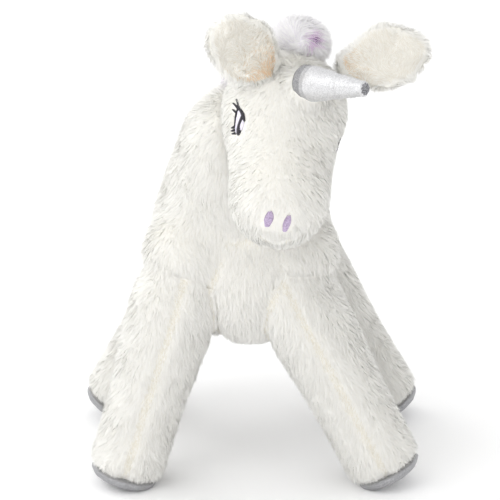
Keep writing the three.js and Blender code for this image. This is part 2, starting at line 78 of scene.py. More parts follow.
# Pile.
PILE = 6.5 * MM
FACE_PILE = 5.5 * MM
SEAM_TRIM = (0.5 * MM, 7.5 * MM)  # how far from a seam the strands reach their full length
SEAM_SHADE_REACH = (1.0 * MM, 3.8 * MM)  # how far from a seam the painted cream seam shade fades and the strands turn white
STUBBLE = 0.3  # share of a strand's length that is left in a seam
LENGTH_SPREAD = (0.8, 0.35)  # the least share of the length, and what chance adds
WIDTH_SPREAD = (0.7, 0.6)
STRAND_WIDTH = 0.28 * MM
TUFT_PILE = 14 * MM  # on the mane and the tail
CLUMP = 3 * MM
CLUMP_PULL = (0.05, 0.25)  # share of the way that a tip moves to its clump
SWIRL = 9 * MM  # size of the nap's slow turns
SWIRL_WAVES = 5
NAP_WANDER = 0.27
NAP_LEAN = (1.1, 2.0)  # of a strand's lower and upper half
ROOT_TANGLE = 0.22
TIP_TANGLE = 0.42
SHADE_WANDER = 0.16

LEGS = ("front_left", "front_right", "back_left", "back_right")
HEAD_TURN = (
    Matrix.Rotation(math.radians(-4.6), 3, "Z")
    @ Matrix.Rotation(math.radians(41.8), 3, "X")
    @ Matrix.Rotation(math.radians(24), 3, "Y")
)
joints = {j["name"]: j for j in frame["joints"]}
collection = bpy.context.scene.collection


def hinge(name):
    return Vector(joints[name]["pos_m"])


def hinge_axis(name):
    return Vector(joints[name]["axis"]).normalized()


def middle_of(node):
    low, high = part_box(node)
    return (low + high) / 2


def unit(rows):
    return rows / np.maximum(np.linalg.norm(rows, axis=-1, keepdims=True), 1e-12)


def smoothstep(low, high, value):
    t = np.clip((value - low) / (high - low), 0, 1)
    return t * t * (3 - 2 * t)


# Meshes.
def points_of(mesh):
    flat = np.zeros(len(mesh.vertices) * 3)
    mesh.vertices.foreach_get("co", flat)
    return flat.reshape(-1, 3)


def normals_of(mesh):
    flat = np.zeros(len(mesh.vertices) * 3)
    mesh.vertex_normals.foreach_get("vector", flat)
    return flat.reshape(-1, 3)


def set_points(mesh, points):
    mesh.vertices.foreach_set("co", np.ascontiguousarray(points, np.float32).ravel())
    mesh.update()


def edges_of(mesh):
    flat = np.zeros(len(mesh.edges) * 2, np.int32)
    mesh.edges.foreach_get("vertices", flat)
    return flat.reshape(-1, 2)


def triangles_of(mesh):
    mesh.calc_loop_triangles()
    flat = np.zeros(len(mesh.loop_triangles) * 3, np.int32)
    mesh.loop_triangles.foreach_get("vertices", flat)
    return flat.reshape(-1, 3)


def new_object(name, mesh, *materials):
    obj = bpy.data.objects.new(name, mesh)
    collection.objects.link(obj)
    for material in materials:
        mesh.materials.append(material)
    return obj


def smooth_faces(mesh):
    mesh.polygons.foreach_set("use_smooth", np.ones(len(mesh.polygons), bool))


def mesh_from(name, shape):
    mesh = bpy.data.meshes.new(name)
    shape.to_mesh(mesh)
    shape.free()
    return mesh


def settle(obj):
    """Applies an object's modifiers."""
    graph = bpy.context.evaluated_depsgraph_get()
    mesh = bpy.data.meshes.new_from_object(obj.evaluated_get(graph))
    old = obj.data
    obj.modifiers.clear()
    obj.data = mesh
    bpy.data.meshes.remove(old)
    return obj


def neighbour_moves(mesh):
    """A function from points to the steps that take each to the middle of its neighbours."""
    a, b = edges_of(mesh).T
    count = np.zeros(len(mesh.vertices))
    np.add.at(count, a, 1)
    np.add.at(count, b, 1)

    def moves(points):
        total = np.zeros_like(points)
        np.add.at(total, a, points[b])
        np.add.at(total, b, points[a])
        return total / np.maximum(count, 1)[:, None] - points

    return moves


def relax(mesh, rounds):
    """Moves each vertex half the way to the middle of its neighbours."""
    points = points_of(mesh)
    moves = neighbour_moves(mesh)
    for _ in range(rounds):
        points = points + 0.5 * moves(points)
    set_points(mesh, points)


def fill_hollows(mesh, rounds, low, high):
    """Raises the creases between two bags, only outwards, and fully above the height high."""
    points = points_of(mesh)
    moves = neighbour_moves(mesh)
    for _ in range(rounds):
        set_points(mesh, points)
        normal = normals_of(mesh)
        outward = (moves(points) * normal).sum(axis=1)
        share = smoothstep(low, high, points[:, 2])
        points = points + (np.maximum(outward, 0) * share * FILL_STEP)[:, None] * normal
    set_points(mesh, points)


def bag(name, nodes, voxel=VOXEL, rounds=8, puff=PUFF, balls=()):
    """One smooth closed skin around CAD nodes, with extra balls of (centre, radius) joined in."""
    shape = bmesh.new()
    for node in nodes:
        shape.from_mesh(frame["nodes"][node].data)
    for centre, radius in balls:
        place = Matrix.Translation(centre)
        bmesh.ops.create_icosphere(shape, subdivisions=3, radius=radius, matrix=place)
    mesh = mesh_from(name, shape)
    mesh.materials.clear()
    obj = new_object(name, mesh)
    remesh = obj.modifiers.new("skin", "REMESH")
    remesh.mode = "VOXEL"
    remesh.voxel_size = voxel
    settle(obj)
    relax(obj.data, rounds)
    set_points(obj.data, points_of(obj.data) + puff * normals_of(obj.data))
    smooth_faces(obj.data)
    return obj


def tree_of(meshes):
    points, faces = [], []
    for mesh in meshes:
        start = len(points)
        points.extend(v.co.copy() for v in mesh.vertices)
        faces.extend([start + i for i in p.vertices] for p in mesh.polygons)
    return BVHTree.FromPolygons(points, faces)


def near_tree(points):
    tree = KDTree(len(points))
    for i, p in enumerate(points):
        tree.insert(p, i)
    tree.balance()
    return tree


def near_distance(tree, points):
    return np.array([tree.find(p)[2] for p in points])


def distance_to(tree, points):
    return np.array([tree.find_nearest(Vector(p))[3] for p in points])


def depth_in(tree, points):
    """How far points lie outside a closed skin; below 0 they are inside it."""
    found = []
    for p in points:
        spot, normal, _, _ = tree.find_nearest(Vector(p))
        found.append((Vector(p) - spot).dot(normal))
    return np.array(found)


def subdivided(obj):
    level = obj.modifiers.new("round", "SUBSURF")
    level.levels = level.render_levels = 1
    settle(obj)
    smooth_faces(obj.data)
    return obj


# Seams: they run where two pieces of fabric of the frame meet.
FABRICS = (
    ("left_side_panel", "neck_left_panel", "front_left_leg_outer_panel", "back_left_leg_outer_panel"),
    (
        "right_side_panel",
        "neck_right_panel",
        "front_right_leg_outer_panel",
        "back_right_leg_outer_panel",
    ),
    ("chest_panel",),
    ("belly_panel", *(f"{leg}_leg_inner_panel" for leg in LEGS)),
    tuple(f"{leg}_sole" for leg in LEGS),
)
fabric_trees = [tree_of([frame["nodes"][n].data for n in group]) for group in FABRICS]


def seam_distance(points):
    """How far each point is from the nearest seam, and whether a sole covers it."""
    far = np.array([distance_to(tree, points) for tree in fabric_trees])
    return np.sort(far, axis=0)[1], far.argmin(axis=0) == len(FABRICS) - 1


def puffed(obj):
    """Where a skin goes when its filling presses it out between its seams."""
    rest = points_of(obj.data)
    seam, _ = seam_distance(rest)
    held = seam < SEAM_WIDTH
    depth = SEAM_DEPTH * (1 - smoothstep(0, SEAM_WIDTH * 1.6, seam))
    sunk = rest - normals_of(obj.data) * depth[:, None]
    copy = new_object("puffing", obj.data.copy())
    set_points(copy.data, sunk)
    pins = copy.vertex_groups.new(name="seams")
    pins.add([int(i) for i in np.flatnonzero(held)], 1.0, "REPLACE")
    cloth = copy.modifiers.new("puff", "CLOTH")
    cloth.settings.use_pressure = True
    cloth.settings.uniform_pressure_force = PRESSURE
    cloth.settings.vertex_group_mass = "seams"
    cloth.settings.effector_weights.gravity = 0
    cloth.point_cache.frame_end = PUFF_FRAMES
    scene = bpy.context.scene
    for step in range(1, PUFF_FRAMES + 1):
        scene.frame_set(step)
    settle(copy)
    move = points_of(copy.data) - sunk
    length = np.linalg.norm(move, axis=1, keepdims=True)
    move *= np.minimum(1, PUFF_LIMIT / np.maximum(length, 1e-9))
    bpy.data.objects.remove(copy)
    scene.frame_set(1)
    return sunk + move - rest


def carry(points, source, moves):
    """Moves points as the nearest points of the puffed skin move."""
    tree = near_tree(source)
    out = points.copy()
    for i, p in enumerate(points):
        near = tree.find_n(p, 4)
        weights = np.array([1 / (d + 0.5 * MM) for _, _, d in near])
        fade = max(0.0, 1 - near[0][2] / (2 * VOXEL))
        step = sum(w * moves[k] for w, (_, k, _) in zip(weights, near)) / weights.sum()
        out[i] = p + fade * step
    return out


# Materials.
BUMP_HEIGHT = 0.5 * MM


def material(name, colour, roughness=0.9, **values):
    made = bpy.data.materials.new(name)
    made.use_nodes = True
    shader = made.node_tree.nodes["Principled BSDF"]
    shader.inputs["Base Color"].default_value = (*colour, 1)
    shader.inputs["Roughness"].default_value = roughness
    for key, value in values.items():
        shader.inputs[key.replace("_", " ")].default_value = value
    return made


def mottled(name, low, high, scale, bump=0.0, roughness=0.9, **values):
    """A material with a noise between two colours, and a fine bump from it."""
    made = material(name, high, roughness, **values)
    nodes, links = made.node_tree.nodes, made.node_tree.links
    shader = nodes["Principled BSDF"]
    where = nodes.new("ShaderNodeTexCoord")
    noise = nodes.new("ShaderNodeTexNoise")
    noise.inputs["Scale"].default_value = scale
    noise.inputs["Detail"].default_value = 4
    ramp = nodes.new("ShaderNodeValToRGB")
    for element, position, colour in zip(ramp.color_ramp.elements, (0.35, 0.65), (low, high)):
        element.position = position
        element.color = (*colour, 1)
    links.new(where.outputs["Object"], noise.inputs["Vector"])
    links.new(noise.outputs["Fac"], ramp.inputs["Fac"])
    links.new(ramp.outputs["Color"], shader.inputs["Base Color"])
    if bump:
        height = nodes.new("ShaderNodeBump")
        height.inputs["Strength"].default_value = bump
        height.inputs["Distance"].default_value = BUMP_HEIGHT
        links.new(noise.outputs["Fac"], height.inputs["Height"])
        links.new(height.outputs["Normal"], shader.inputs["Normal"])
    return made


def fibre(name, colour):
    return material(name, colour, 0.85, Sheen_Weight=0.2)


def silver(name, low, high, metallic):
    return mottled(name, low, high, 1500, 0.35, 0.5, Metallic=metallic)


backing = mottled("pile_backing", (0.93, 0.91, 0.85), (0.97, 0.96, 0.92), 900, 0.4)
lilac_backing = mottled("lilac_backing", (0.8, 0.76, 0.84), (0.9, 0.88, 0.91), 900, 0.4)
sole_cloth = mottled(
    "sole_cloth", (0.26, 0.26, 0.27), (0.42, 0.42, 0.43), 1600, 0.5, 0.45, Metallic=0.35
)
# The horn's cloth is painted darker towards its root: painted shade where it is sewn in.
horn_cloths = [
    silver("silver_cloth", (0.56, 0.56, 0.57), (0.78, 0.78, 0.79), 0.7),
    silver("silver_painted_crease_shade", (0.42, 0.42, 0.43), (0.6, 0.6, 0.61), 0.6),
    silver("silver_painted_root_shade", (0.24, 0.24, 0.25), (0.42, 0.42, 0.43), 0.5),
]
knot_cloth = mottled("knot_cloth", (0.1, 0.1, 0.11), (0.4, 0.4, 0.42), 1400, 0.5, 0.5, Metallic=0.4)
dark_thread = mottled(
    "dark_thread", (0.008, 0.007, 0.012), (0.04, 0.036, 0.05), 2500, 0, 0.5, Sheen_Weight=0.1
)
lilac_thread = mottled("lilac_thread", (0.34, 0.26, 0.4), (0.62, 0.51, 0.69), 1300, 0, 0.4)
eye_thread = mottled("eye_thread", (0.76, 0.72, 0.86), (0.9, 0.87, 0.95), 1800, 0, 0.4)
WHITE_TONES = [
    fibre("pile_white", (0.97, 0.962, 0.93)),
    fibre("pile_ivory", (0.955, 0.94, 0.89)),
    fibre("pile_shadow_white", (0.93, 0.92, 0.88)),
    # painted shade: a cream tone for the strands in the valley of a seam
    material("pile_painted_seam_shade", (0.87, 0.835, 0.74), 0.9),
]
LINING_TONES = [
    fibre("lining_ivory", (0.88, 0.86, 0.8)),
    fibre("lining_cream", (0.85, 0.81, 0.73)),
    # painted shade: tan and peach tones for the lining by the fold at the ear's root
    fibre("lining_painted_tan_shade", (0.8, 0.71, 0.58)),
    fibre("lining_painted_peach_shade", (0.87, 0.65, 0.43)),
]
LILAC_TONES = [
    fibre("lilac_white", (0.94, 0.932, 0.93)),
    fibre("pale_lilac", (0.86, 0.84, 0.88)),
    fibre("pink_lilac", (0.74, 0.54, 0.76)),
    material("violet", (0.2, 0.09, 0.24), 0.85),
]


# Pile.
class Skin:
    """A skin's mesh as arrays, with the values at its vertices that its pile needs."""

    def __init__(self, obj):
        self.points = points_of(obj.data)
        self.normals = normals_of(obj.data)
        self.triangles = triangles_of(obj.data)
        self.bare = np.zeros(len(self.points))
        self.seam = np.full(len(self.points), 1.0)

    def scatter(self, per_mm2, rng):
        a, b, c = (self.points[self.triangles[:, k]] for k in range(3))
        area = np.linalg.norm(np.cross(b - a, c - a), axis=1) / 2
        area = area * (1 - self.bare[self.triangles].mean(axis=1).round())
        wanted = area / MM**2 * per_mm2
        count = np.floor(wanted + rng.random(len(area))).astype(int)
        face = np.repeat(np.arange(len(area)), count)
        u, v = rng.random((2, len(face)))
        over = u + v > 1
        u[over], v[over] = 1 - u[over], 1 - v[over]
        share = np.stack([1 - u - v, u, v], axis=1)
        return self.triangles[face], share


def at(values, corners, share):
    """A skin's values at scattered points, each inside a triangle by shares of its corners."""
    picked = values[corners]
    if picked.ndim == 3:
        return (picked * share[..., None]).sum(axis=1)
    return (picked * share).sum(axis=1)


def ripple(points, size, rng):
    """A smooth random direction field with features of about that size."""
    total = np.zeros((len(points), 3))
    for _ in range(SWIRL_WAVES):
        wave = rng.normal(size=(3, 3)) / size
        phase = rng.random(3) * 2 * np.pi
        total += np.sin(points @ wave.T + phase)
    return total / 2.2


def mesh_of_strands(name, root, middle, tip, side, shade, tone, materials):
    """Each strand is a ribbon of one quad and one triangle."""
    count = len(root)
    points = np.empty((count, 5, 3), np.float32)
    points[:, 0], points[:, 1] = root - side, root + side
    points[:, 2], points[:, 3] = middle - 0.8 * side, middle + 0.8 * side
    points[:, 4] = tip
    points[:, :, 2] = np.maximum(points[:, :, 2], 0.2 * MM)
    first = np.arange(count, dtype=np.int32)[:, None] * 5
    corners = first + np.array([0, 1, 3, 2, 2, 3, 4], np.int32)
    mesh = bpy.data.meshes.new(name)
    mesh.vertices.add(count * 5)
    mesh.vertices.foreach_set("co", points.ravel())
    mesh.loops.add(count * 7)
    mesh.loops.foreach_set("vertex_index", corners.ravel())
    mesh.polygons.add(count * 2)
    starts = np.arange(count, dtype=np.int32)[:, None] * 7 + np.array([0, 4], np.int32)
    mesh.polygons.foreach_set("loop_start", starts.ravel())
    mesh.polygons.foreach_set("material_index", np.repeat(tone, 2).astype(np.int32))
    mesh.update(calc_edges=True)
    smooth_faces(mesh)
    mesh.normals_split_custom_set_from_vertices(np.repeat(shade, 5, axis=0))
    made = new_object(name, mesh, *materials)
    made.visible_shadow = False  # light passes between the strands and is stopped by the skin
    return made


def lying(flow, normals):
    """The part of a flow that lies along the skin."""
    flat = flow - (flow * normals).sum(axis=1, keepdims=True) * normals
    return unit(flat + 1e-6)


def downward(points):
    return np.tile((0.0, 0.0, -1.0), (len(points), 1))


def spread(rng, count, least, more):
    """Random shares, each from least to more above it."""
    return least + more * rng.random(count)


def white_and_seam_shade_tones(points, seam, rng):
    """Mostly white, with a cream line of painted shade along each seam."""
    found = rng.choice(3, len(points), p=(0.7, 0.2, 0.1))
    # painted shade: strands near a seam take the cream tone
    near = rng.random(len(points)) < 0.75 * (1 - smoothstep(*SEAM_SHADE_REACH, seam))
    found[near] = 3
    return found


def pile(
    name,
    skin,
    materials,
    per_mm2=3.0,
    length=PILE,
    flow=downward,
    tone=white_and_seam_shade_tones,
    seed=0,
):
    """Covers a skin with strands that lie along flow, gathered in small clumps."""
    rng = np.random.default_rng(SEED + seed)
    corners, share = skin.scatter(per_mm2, rng)
    root = at(skin.points, corners, share)
    normal = unit(at(skin.normals, corners, share))
    seam = at(skin.seam, corners, share)
    count = len(root)
    wander = ripple(root, SWIRL, np.random.default_rng(SEED + 1)) * NAP_WANDER
    nap = lying(flow(root) + wander, normal)
    trimmed = STUBBLE + (1 - STUBBLE) * smoothstep(*SEAM_TRIM, seam)
    reach = length(root) if callable(length) else np.full(count, length)
    reach = reach * trimmed * spread(rng, count, *LENGTH_SPREAD)
    first = unit(normal + NAP_LEAN[0] * nap + ROOT_TANGLE * rng.normal(size=(count, 3)))
    second = unit(normal + NAP_LEAN[1] * nap + TIP_TANGLE * rng.normal(size=(count, 3)))
    middle = root + first * (0.5 * reach)[:, None]
    tip = middle + second * (0.5 * reach)[:, None]
    centres = rng.random(count) < 1 / (per_mm2 * (CLUMP / MM) ** 2)
    spots = np.flatnonzero(centres)
    tree = near_tree(root[spots])
    home = spots[[tree.find(p)[1] for p in root]]
    pull = spread(rng, count, *CLUMP_PULL)[:, None]
    tip += pull * (tip[home] - tip)
    middle += 0.35 * pull * (middle[home] - middle)
    side = unit(np.cross(first, normal + 0.6 * rng.normal(size=(count, 3))))
    faces_in = (np.cross(side, first) * normal).sum(axis=1) < 0
    side[faces_in] *= -1
    side *= (STRAND_WIDTH / 2 * spread(rng, count, *WIDTH_SPREAD))[:, None]
    shade = unit(normal + SHADE_WANDER * rng.normal(size=(count, 3)))
    tones = tone(root, seam, rng)
    return mesh_of_strands(name, root, middle, tip, side, shade, tones, materials)


# Body skins, with filling that rounds the shoulders into the neck: centre and radius.
SHOULDERS = [
    (Vector((-39, -32, 150)) * MM, 26 * MM),
    (Vector((27, -32, 150)) * MM, 25 * MM),
]
torso_nodes = ["torso_stuffing", "neck_stuffing", "tail_root"]


def body_bag(name, nodes):
    made = bag(name, nodes, balls=SHOULDERS)
    fill_hollows(made.data, FILL_ROUNDS, CROTCH_HEIGHT, SHOULDER_HEIGHT)
    return made


body = body_bag("body_skin", torso_nodes)
body_rest = points_of(body.data)
body_tree = tree_of([body.data])
whole = body_bag("whole_skin", torso_nodes + [f"{leg}_leg_stuffing" for leg in LEGS])
whole_rest = points_of(whole.data)
whole_moves = puffed(whole)
set_points(whole.data, whole_rest + whole_moves)
whole_tree = tree_of([whole.data])
bpy.data.objects.remove(whole)

legs = {}
for leg in LEGS:
    skin = body_bag(f"{leg}_leg_skin", [*torso_nodes, f"{leg}_leg_stuffing"])
    rise = distance_to(body_tree, points_of(skin.data))
    shape = bmesh.new()
    shape.from_mesh(skin.data)
    shape.verts.ensure_lookup_table()
    below = [v for v in shape.verts if rise[v.index] < LEG_EDGE]
    bmesh.ops.delete(shape, geom=below, context="VERTS")
    shape.to_mesh(skin.data)
    shape.free()
    set_points(skin.data, carry(points_of(skin.data), whole_rest, whole_moves))
    legs[leg] = subdivided(skin)

set_points(body.data, carry(body_rest, whole_rest, whole_moves))
subdivided(body)

# The neck's skin is the part of the body's above its seam.
NECK_START = 3 * MM  # below the hinge
neck_point = hinge("neck_turn")
neck_axis = hinge_axis("neck_turn")
neck_start = neck_point - neck_axis * NECK_START


def cut(obj, name, keep_above):
    """The part of a skin on one side of the neck's seam."""
    mesh = obj.data.copy()
    shape = bmesh.new()
    shape.from_mesh(mesh)
    everything = shape.verts[:] + shape.edges[:] + shape.faces[:]
    bmesh.ops.bisect_plane(
        shape,
        geom=everything,
        plane_co=neck_start,
        plane_no=neck_axis,
        clear_outer=not keep_above,
        clear_inner=keep_above,
    )
    shape.to_mesh(mesh)
    shape.free()
    return new_object(name, mesh)


torso_skin = cut(body, "torso_skin", False)
neck_skin = cut(body, "neck_skin", True)
bpy.data.objects.remove(body)

# Head skin: a ball of filling closes the horn's pocket under the horn.
POCKET_DEPTH = 6 * MM
POCKET_RADIUS = 11.5 * MM
head_centre = hinge("head_nod")
horn_place = hinge("horn_lean")
horn_axis = (middle_of("horn_tip_knot") - horn_place).normalized()
mound = (horn_place - (horn_place - head_centre).normalized() * POCKET_DEPTH, POCKET_RADIUS)
head_bag = bag("head_skin", ["head_stuffing"], voxel=3 * MM, rounds=5, puff=2.1 * MM, balls=[mound])
head_skin = subdivided(head_bag)
head_tree = tree_of([head_skin.data])

for skin in (torso_skin, neck_skin, head_skin, *legs.values()):
    skin.data.materials.append(backing)

# Small skins.
soles = {}
for leg in LEGS:
    sole = bag(f"{leg}_sole_pad", [f"{leg}_sole"], voxel=1.5 * MM, rounds=5, puff=0.3 * MM)
    points = points_of(sole.data)
    points[:, 2] = np.maximum(points[:, 2], 0)
    set_points(sole.data, points)
    sole.data.materials.append(sole_cloth)
    soles[leg] = sole

# Ears: the soft leaf sags from its root, spreads, and narrows towards its root and its tip.
EAR_SAG = {"left": Vector((4.5, 0, -7.5)) * MM, "right": Vector((0.5, 0, 0)) * MM}
EAR_SPREAD = {"left": (1.1, 1.08), "right": (1.22, 1.02)}  # along and across
EAR_TIP_NARROWING = 0.16
EAR_ROOT_NARROWING = 0.3
LINING_REACH = 3.4 * MM  # how near the CAD lining the skin is lining too
ears = {}
ears_middle = {}
ear_inside = {}
for side in ("left", "right"):
    outer, lining = f"{side}_ear_outer", f"{side}_ear_lining"
    leaf = bag(f"{side}_ear_skin", [outer, lining], voxel=2 * MM, rounds=5, puff=0.6 * MM)
    ear = subdivided(leaf)
    ears[side] = ear
    ear.data.materials.append(backing)
    points = points_of(ear.data)
    faces_in = normals_of(ear.data) @ np.array((middle_of(lining) - middle_of(outer)).normalized())
    from_lining = distance_to(tree_of([frame["nodes"][lining].data]), points)
    ear_inside[side] = ((faces_in > 0.5) & (from_lining < LINING_REACH)).astype(float)
    root = np.array(hinge(f"{side}_ear_flop"))
    across = np.array(hinge_axis(f"{side}_ear_flop"))
    reach = points.mean(axis=0) - root
    along = unit(reach - (reach @ across) * across)
    far = (points - root) @ along
    share = far / far.max()
    longer, wider = EAR_SPREAD[side]
    at_tip = EAR_TIP_NARROWING * smoothstep(0.4, 1.1, share)
    at_root = EAR_ROOT_NARROWING * (1 - smoothstep(0.0, 0.5, share))
    width = wider * (1 - at_tip - at_root)
    centre = ((points - root) @ across).mean()
    aside = (points - root) @ across - centre
    points = points + np.outer(far * (longer - 1), along) + np.outer(aside * (width - 1), across)
    points = points + np.array(EAR_SAG[side])
    set_points(ear.data, points)
    ears_middle[side] = points.mean(axis=0)

forelock_skin = bag("forelock_skin", ["forelock"], voxel=3 * MM, rounds=4, puff=0)
forelock_skin.data.materials.append(lilac_backing)
mane_skin = bag("mane_skin", ["mane"], voxel=2.5 * MM, rounds=3, puff=0.5 * MM)
mane_skin.data.materials.append(lilac_backing)
tail_nodes = ["tail_tuft", "tail_root"]
tail_skin = bag("tail_skin", tail_nodes, voxel=3 * MM, rounds=4, puff=-1.5 * MM)
tail_skin.data.materials.append(lilac_backing)

# Turned and laid forms.
def join_rings(form, rings):
    """Makes a tube with closed ends from rings of vertices."""
    for low, high in zip(rings, rings[1:]):
        for i in range(len(low)):
            j = (i + 1) % len(low)
            form.faces.new((low[i], low[j], high[j], high[i]))
    form.faces.new(rings[0][::-1])
    form.faces.new(rings[-1])


def lathe(name, start, axis, rings, sides=64, shape=lambda share, angle: 0.0):
    """A closed turned form; each ring is (height, radius), and shape adds to the radius."""
    across = axis.orthogonal().normalized()
    depth = axis.cross(across)
    form = bmesh.new()
    rows = []
    for k, (height, radius) in enumerate(rings):
        row = []
        for i in range(sides):
            angle = 2 * math.pi * i / sides
            r = radius + shape(k / (len(rings) - 1), angle)
            spot = start + axis * height + (across * math.cos(angle) + depth * math.sin(angle)) * r
            row.append(form.verts.new(spot))
        rows.append(row)
    join_rings(form, rows)
    mesh = mesh_from(name, form)
    smooth_faces(mesh)
    return new_object(name, mesh)


# Horn. Shares are of its length from its root.
HORN_STEPS = 48
HORN_ROOT_RADIUS = 10.9 * MM
HORN_TIP_RADIUS = 4.4 * MM
HORN_TAPER = 1.1
HORN_BELLY = 0.7 * MM
HORN_BELLY_END = 0.53
HORN_SUNK = 4 * MM  # how far its root lies in the forehead
HORN_TUCK = (0.6, 0.5 * MM, 0.012)  # share, depth and width
HORN_WRINKLE = 0.19 * MM
HORN_FOLD = 0.14 * MM
HORN_END = ((0.8, 3.2), (0.3, 1.6))  # height over the tip and radius, in mm
KNOT_REACH = 1.5 * MM  # from the end of the cloth to the knot's middle
horn_length = (middle_of("horn_tip_knot") - horn_place).length - KNOT_REACH


def horn_radius(share):
    tapered = share**HORN_TAPER
    radius = HORN_ROOT_RADIUS * (1 - tapered) + HORN_TIP_RADIUS * tapered
    radius += HORN_BELLY * math.sin(math.pi * min(1, share * 1.9)) * (share < HORN_BELLY_END)
    where, depth, width = HORN_TUCK
    tuck = depth * math.exp(-(((share - where) / width) ** 2))
    wrinkle = HORN_WRINKLE * math.sin(share * 90) * (0.3 + 0.7 * (share > 0.55))
    return radius - tuck + wrinkle


def horn_folds(share, angle):
    return HORN_FOLD * (math.sin(7 * angle + 9 * share) * share + math.sin(4 * angle + 31 * share))


horn_rings = []
for k in range(HORN_STEPS + 1):
    share = k / HORN_STEPS
    horn_rings.append((horn_length * share - HORN_SUNK * (1 - share), horn_radius(share)))
for height, radius in HORN_END:
    horn_rings.append((horn_length + height * MM, radius * MM))
horn = lathe("horn_cloth", horn_place, horn_axis, horn_rings, shape=horn_folds)
for cloth in horn_cloths:
    horn.data.materials.append(cloth)
ROOT_SHADE = 0.6 * MM  # how high up the horn each darker cloth of painted shade shows
CREASE_SHADE = 3.4 * MM
# Painted shade: the darkest cloth at the very root, a darker one just above it.
for polygon in horn.data.polygons:
    height = (polygon.center - horn_place).dot(horn_axis)
    polygon.material_index = 2 if height < ROOT_SHADE else 1 if height < CREASE_SHADE else 0

# The gathered end of the horn's cloth: height and radius in mm.
KNOT_RINGS = (
    (-1.5, 3.5),
    (-0.3, 3.8),
    (0.7, 3.6),
    (1.3, 2.9),
    (1.5, 2.1),
    (1.1, 1.5),
    (1.5, 1.0),
    (1.9, 0.5),
)
KNOT_FOLD = 0.3 * MM
horn_knot = lathe(
    "horn_knot",
    horn_place + horn_axis * horn_length,
    horn_axis,
    [(height * MM, radius * MM) for height, radius in KNOT_RINGS],
    shape=lambda share, angle: KNOT_FOLD * math.sin(9 * angle + 3 * share) * math.sin(math.pi * share),
)
horn_knot.data.materials.append(knot_cloth)


# Embroidery. Places are in mm along the head's own axes: across, to the back and up to the forehead.
THREAD = 0.24 * MM
THREAD_STEP = 0.34
THREAD_SLANT = 0.35
THREAD_ARCH = ((-1, 0.1), (-0.8, 0.75), (0, 1), (0.8, 0.75), (1, 0.1))  # across and up
MOUTH_STEP = 0.5


def on_head(place):
    spot, normal, _, _ = head_tree.find_nearest(head_centre + HEAD_TURN @ (Vector(place) * MM))
    return spot, normal


def smooth_rows(rows, step):
    """Rows along a smooth curve through the given rows, about step apart."""
    rows = np.array(rows, float)
    ends = np.vstack([2 * rows[0] - rows[1], rows, 2 * rows[-1] - rows[-2]])
    out = []
    for k in range(1, len(ends) - 2):
        a, b, c, d = ends[k - 1 : k + 3]
        count = max(2, round(np.linalg.norm((c - b)[:3]) / step))
        for t in np.arange(count) / count:
            bend = (c - a) * t + (2 * a - 5 * b + 4 * c - d) * t**2 + (3 * b - a - 3 * c + d) * t**3
            out.append(b + 0.5 * bend)
    out.append(rows[-1])
    return np.array(out)


def tube(form, line, up, radius, sides=5):
    """A round thread along a line."""
    rings = []
    for k, spot in enumerate(line):
        along = (line[min(k + 1, len(line) - 1)] - line[max(k - 1, 0)]).normalized()
        out = (up - along * up.dot(along)).normalized()
        over = along.cross(out)
        ring = []
        for i in range(sides):
            turn = 2 * math.pi * i / sides
            ring.append(form.verts.new(spot + (out * math.cos(turn) + over * math.sin(turn)) * radius))
        rings.append(ring)
    join_rings(form, rings)


thread_points = []


def satin(name, strokes, made, lift):
    """Threads side by side across each stroke, whose rows are a place and half a width."""
    form = bmesh.new()
    for stroke in strokes:
        rows = smooth_rows(stroke, THREAD_STEP)
        places = [on_head(row[:3]) for row in rows]
        for k, (spot, normal) in enumerate(places):
            ahead = places[min(k + 1, len(places) - 1)][0] - places[max(k - 1, 0)][0]
            ahead.normalize()
            across = (ahead.cross(normal) + THREAD_SLANT * ahead).normalized() * (rows[k][3] * MM)
            line = [spot + across * u + normal * (lift * MM * v) for u, v in THREAD_ARCH]
            tube(form, line, normal, THREAD)
            thread_points.extend(line)
    bmesh.ops.recalc_face_normals(form, faces=form.faces[:])
    mesh = mesh_from(name, form)
    smooth_faces(mesh)
    return new_object(name, mesh, made)


EYE_SIDE = 31
EYE_DROP = 2.5  # the right eye is sewn on a little lower
# Rows are (to the back, up, half width).
EYE_LINES = (
    ((-12.4, 10.4, 0.5), (-15.9, 12.3, 0.9), (-19.0, 13.5, 1.1), (-22.9, 14.2, 0.35)),
    (
        (-19.0, 13.0, 0.9),
        (-21.0, 11.2, 1.2),
        (-23.3, 8.9, 1.2),
        (-25.6, 7.5, 1.5),
        (-27.0, 7.6, 2.1),
        (-28.8, 6.9, 0.7),
    ),
    ((-12.4, 10.4, 0.5), (-15.0, 7.9, 0.4), (-18.5, 6.2, 0.35), (-22.0, 4.9, 0.35)),
    ((-12.8, 10.4, 0.6), (-9.5, 10.0, 0.4), (-6.5, 9.4, 0.2)),
    ((-13.0, 9.9, 0.6), (-10.2, 8.2, 0.4), (-7.3, 6.0, 0.2)),
    ((-15.0, 8.1, 0.6), (-13.0, 6.6, 0.4), (-10.9, 4.9, 0.2)),
    ((-22.0, 4.7, 0.6), (-21.2, 1.4, 0.3)),
    ((-24.1, 4.3, 0.7), (-22.7, 0.4, 0.3)),
    ((-26.2, 3.9, 0.6), (-24.9, 0.8, 0.3)),
)
EYE_WHITES = (
    ((-14.6, 10.2, 1.1), (-17.5, 9.7, 2.3), (-20.5, 8.1, 2.2), (-23.5, 6.0, 1.5), (-26.2, 5.2, 0.8)),
    ((-21.8, 12.9, 0.8), (-24.2, 11.2, 1.5), (-27.0, 10.3, 0.8)),
)
# Rows are (across, to the back, up, half width).
NOSTRILS = {
    "left": (
        (-10.8, -80.3, 15.8, 1.0),
        (-10.4, -82.0, 14.0, 2.3),
        (-9.8, -83.4, 11.8, 2.7),
        (-9.1, -85.6, 8.0, 1.5),
    ),
    "right": (
        (0.2, -81.4, 18.0, 0.9),
        (0.4, -83.0, 16.0, 1.9),
        (0.8, -84.4, 13.8, 2.3),
        (1.5, -86.8, 9.4, 1.3),
    ),
}
MOUTH = ((-8.5, -87, -3.2), (-2.3, -88, -5), (2, -88.2, -4), (7.4, -87.3, 2.4))


